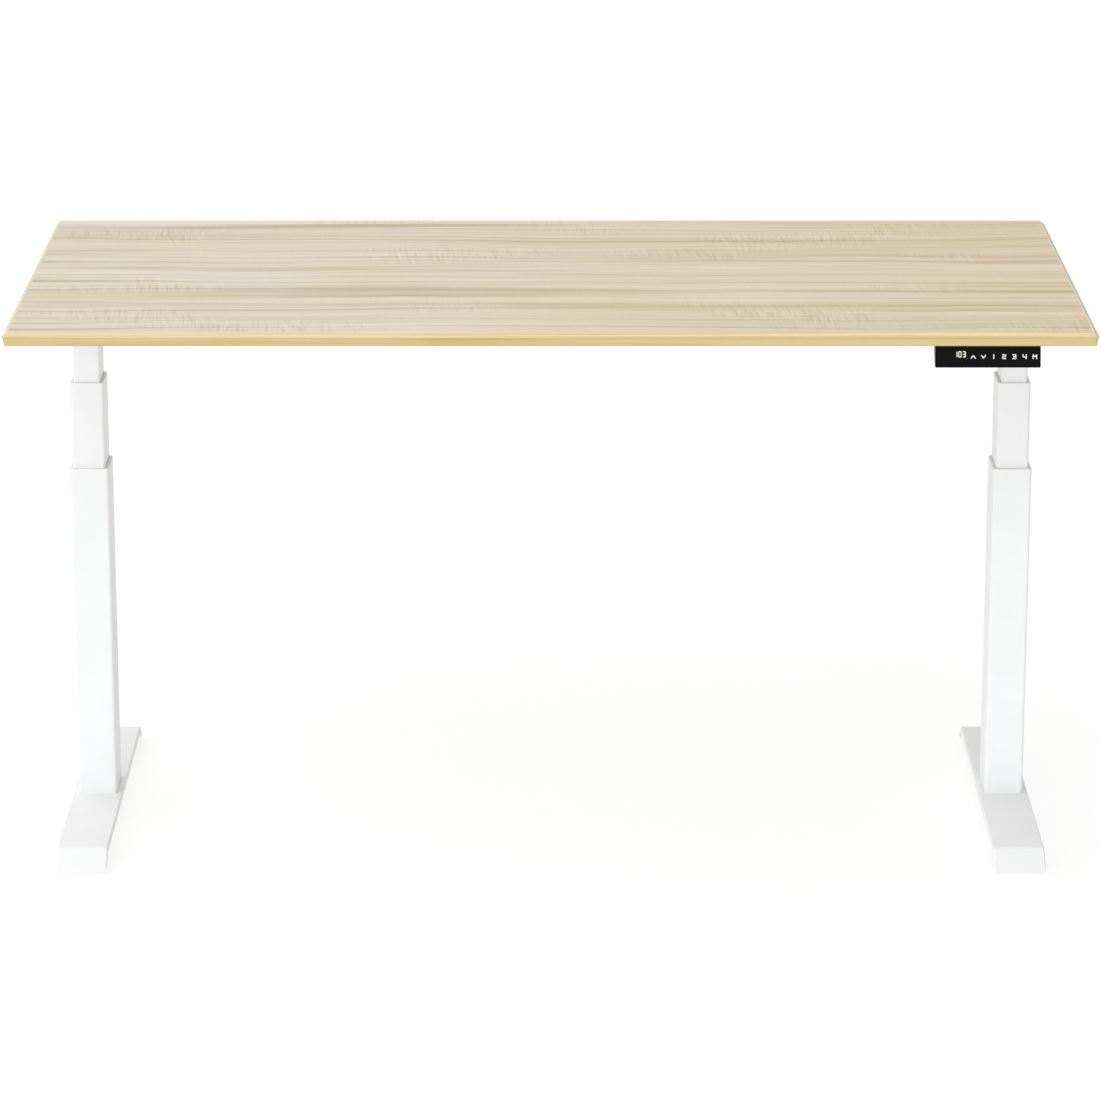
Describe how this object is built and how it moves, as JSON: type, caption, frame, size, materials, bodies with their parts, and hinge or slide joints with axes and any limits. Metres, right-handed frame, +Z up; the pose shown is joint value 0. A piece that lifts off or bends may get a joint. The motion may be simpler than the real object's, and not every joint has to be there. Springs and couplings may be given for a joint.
{
  "type": "height adjustable standing desk",
  "caption": "Rectangular standing desk: bevelled pale wood top on two telescopic motor-driven legs with folded steel feet and a touch handset.",
  "frame": {"origin": "on the floor, under the middle of the worktop", "axes": "+X to the user's right along the worktop, +Y away from the user, +Z up"},
  "size_m": [1.6, 0.8, 0.86],
  "materials": {
    "powder_coated_steel": "fine white powder coat, satin",
    "white_moulding": "moulded white plastic",
    "guide_pad_plastic": "natural acetal",
    "screw_steel": "rolled thread steel, oiled",
    "wheel_bronze": "machined bronze",
    "gearbox_casting": "die cast",
    "motor_can": "black paint, satin",
    "leveller_plastic": "black moulded plastic",
    "fastener_steel": "zinc plated",
    "worktop_decor": "pale oak decor laminate, matt, fine straight grain",
    "worktop_backing": "plain backing laminate, matt",
    "particle_board": "raw particle board",
    "edging_wood": "pale yellow-beige edging, bevelled",
    "box_plastic": "fine textured black",
    "socket_plastic": "black",
    "board_green": "solder mask",
    "handset_plastic": "satin black",
    "handset_gloss": "glossy black touch panel",
    "display_lens": "smoked lens"
  },
  "bodies": {
    "base": {"left_foot": "powder_coated_steel", "left_outer_column": "powder_coated_steel", "left_outer_collar": "white_moulding", "left_base_screw": "screw_steel", "right_foot": "powder_coated_steel", "right_outer_column": "powder_coated_steel", "right_outer_collar": "white_moulding", "right_base_screw": "screw_steel", "foot_bolts": "fastener_steel", "leveller_nuts": "fastener_steel"},
    "left_middle": {"left_middle_column": "powder_coated_steel", "left_middle_collar": "white_moulding", "left_middle_pads": "guide_pad_plastic", "left_middle_end_plate": "guide_pad_plastic"},
    "right_middle": {"right_middle_column": "powder_coated_steel", "right_middle_collar": "white_moulding", "right_middle_pads": "guide_pad_plastic", "right_middle_end_plate": "guide_pad_plastic"},
    "top": {"left_inner_column": "powder_coated_steel", "left_inner_pads": "guide_pad_plastic", "left_spindle_nut": "guide_pad_plastic", "left_gearbox_housing": "gearbox_casting", "left_motor": "motor_can", "left_head_bracket": "powder_coated_steel", "left_support_arm": "powder_coated_steel", "right_inner_column": "powder_coated_steel", "right_inner_pads": "guide_pad_plastic", "right_spindle_nut": "guide_pad_plastic", "right_gearbox_housing": "gearbox_casting", "right_motor": "motor_can", "right_head_bracket": "powder_coated_steel", "right_support_arm": "powder_coated_steel", "worktop_core": "particle_board", "worktop_laminate": "worktop_decor", "worktop_backer": "worktop_backing", "worktop_edging": "edging_wood", "worktop_screws": "fastener_steel", "front_crossbar": "powder_coated_steel", "rear_crossbar": "powder_coated_steel", "frame_bolts": "fastener_steel", "control_box_base": "box_plastic", "control_box_lid": "box_plastic", "control_board": "board_green", "mains_inlet": "socket_plastic", "cable_sockets": "socket_plastic", "handset_housing": "handset_plastic", "handset_fascia": "handset_gloss", "handset_display": "display_lens"},
    "left_screw": {"left_screw_tube": "screw_steel"},
    "left_drive": {"left_drive_tube": "screw_steel", "left_worm_wheel": "wheel_bronze"},
    "left_worm": {"left_worm_shaft": "screw_steel"},
    "left_front_levelling_foot": {"left_front_leveller": "leveller_plastic"},
    "left_rear_levelling_foot": {"left_rear_leveller": "leveller_plastic"},
    "right_screw": {"right_screw_tube": "screw_steel"},
    "right_drive": {"right_drive_tube": "screw_steel", "right_worm_wheel": "wheel_bronze"},
    "right_worm": {"right_worm_shaft": "screw_steel"},
    "right_front_levelling_foot": {"right_front_leveller": "leveller_plastic"},
    "right_rear_levelling_foot": {"right_rear_leveller": "leveller_plastic"}
  },
  "joints": [
    {"name": "desk_lift", "type": "slide", "parent": "base", "child": "left_middle", "axis": [0, 0, 1], "range_m": [-0.11, 0.2]},
    {"name": "right_middle_lift", "type": "slide", "parent": "base", "child": "right_middle", "axis": [0, 0, 1], "range_m": [-0.11, 0.2]},
    {"name": "top_lift", "type": "slide", "parent": "left_middle", "child": "top", "axis": [0, 0, 1], "range_m": [-0.11, 0.2]},
    {"name": "left_screw_turn", "type": "hinge", "parent": "left_middle", "child": "left_screw", "pos_m": [-0.715, 0, 0.3], "axis": [0, 0, 1], "range_deg": [-4950.01, 9000.01]},
    {"name": "left_drive_turn", "type": "hinge", "parent": "top", "child": "left_drive", "pos_m": [-0.715, 0, 0.6], "axis": [0, 0, 1], "range_deg": [-4950.01, 9000.01]},
    {"name": "left_worm_turn", "type": "hinge", "parent": "top", "child": "left_worm", "pos_m": [-0.715, 0.021, 0.818], "axis": [1, 0, 0], "range_deg": [-59400.01, 108000.01]},
    {"name": "right_screw_turn", "type": "hinge", "parent": "right_middle", "child": "right_screw", "pos_m": [0.715, 0, 0.3], "axis": [0, 0, 1], "range_deg": [-4950.01, 9000.01]},
    {"name": "right_drive_turn", "type": "hinge", "parent": "top", "child": "right_drive", "pos_m": [0.715, 0, 0.6], "axis": [0, 0, 1], "range_deg": [-4950.01, 9000.01]},
    {"name": "right_worm_turn", "type": "hinge", "parent": "top", "child": "right_worm", "pos_m": [0.715, 0.021, 0.818], "axis": [1, 0, 0], "range_deg": [-59400.01, 108000.01]},
    {"name": "left_front_level", "type": "slide", "parent": "base", "child": "left_front_levelling_foot", "axis": [0, 0, -1], "range_m": [0, 0.006]},
    {"name": "left_rear_level", "type": "slide", "parent": "base", "child": "left_rear_levelling_foot", "axis": [0, 0, -1], "range_m": [0, 0.006]},
    {"name": "right_front_level", "type": "slide", "parent": "base", "child": "right_front_levelling_foot", "axis": [0, 0, -1], "range_m": [0, 0.006]},
    {"name": "right_rear_level", "type": "slide", "parent": "base", "child": "right_rear_levelling_foot", "axis": [0, 0, -1], "range_m": [0, 0.006]}
  ],
  "couplings": [
    {"joint": "right_middle_lift", "follows": "desk_lift", "ratio": 1},
    {"joint": "top_lift", "follows": "desk_lift", "ratio": 1},
    {"joint": "left_screw_turn", "follows": "desk_lift", "rad_per_m": 785.4},
    {"joint": "left_drive_turn", "follows": "desk_lift", "rad_per_m": 785.4},
    {"joint": "left_worm_turn", "follows": "desk_lift", "rad_per_m": 9424.8},
    {"joint": "right_screw_turn", "follows": "desk_lift", "rad_per_m": 785.4},
    {"joint": "right_drive_turn", "follows": "desk_lift", "rad_per_m": 785.4},
    {"joint": "right_worm_turn", "follows": "desk_lift", "rad_per_m": 9424.8}
  ]
}
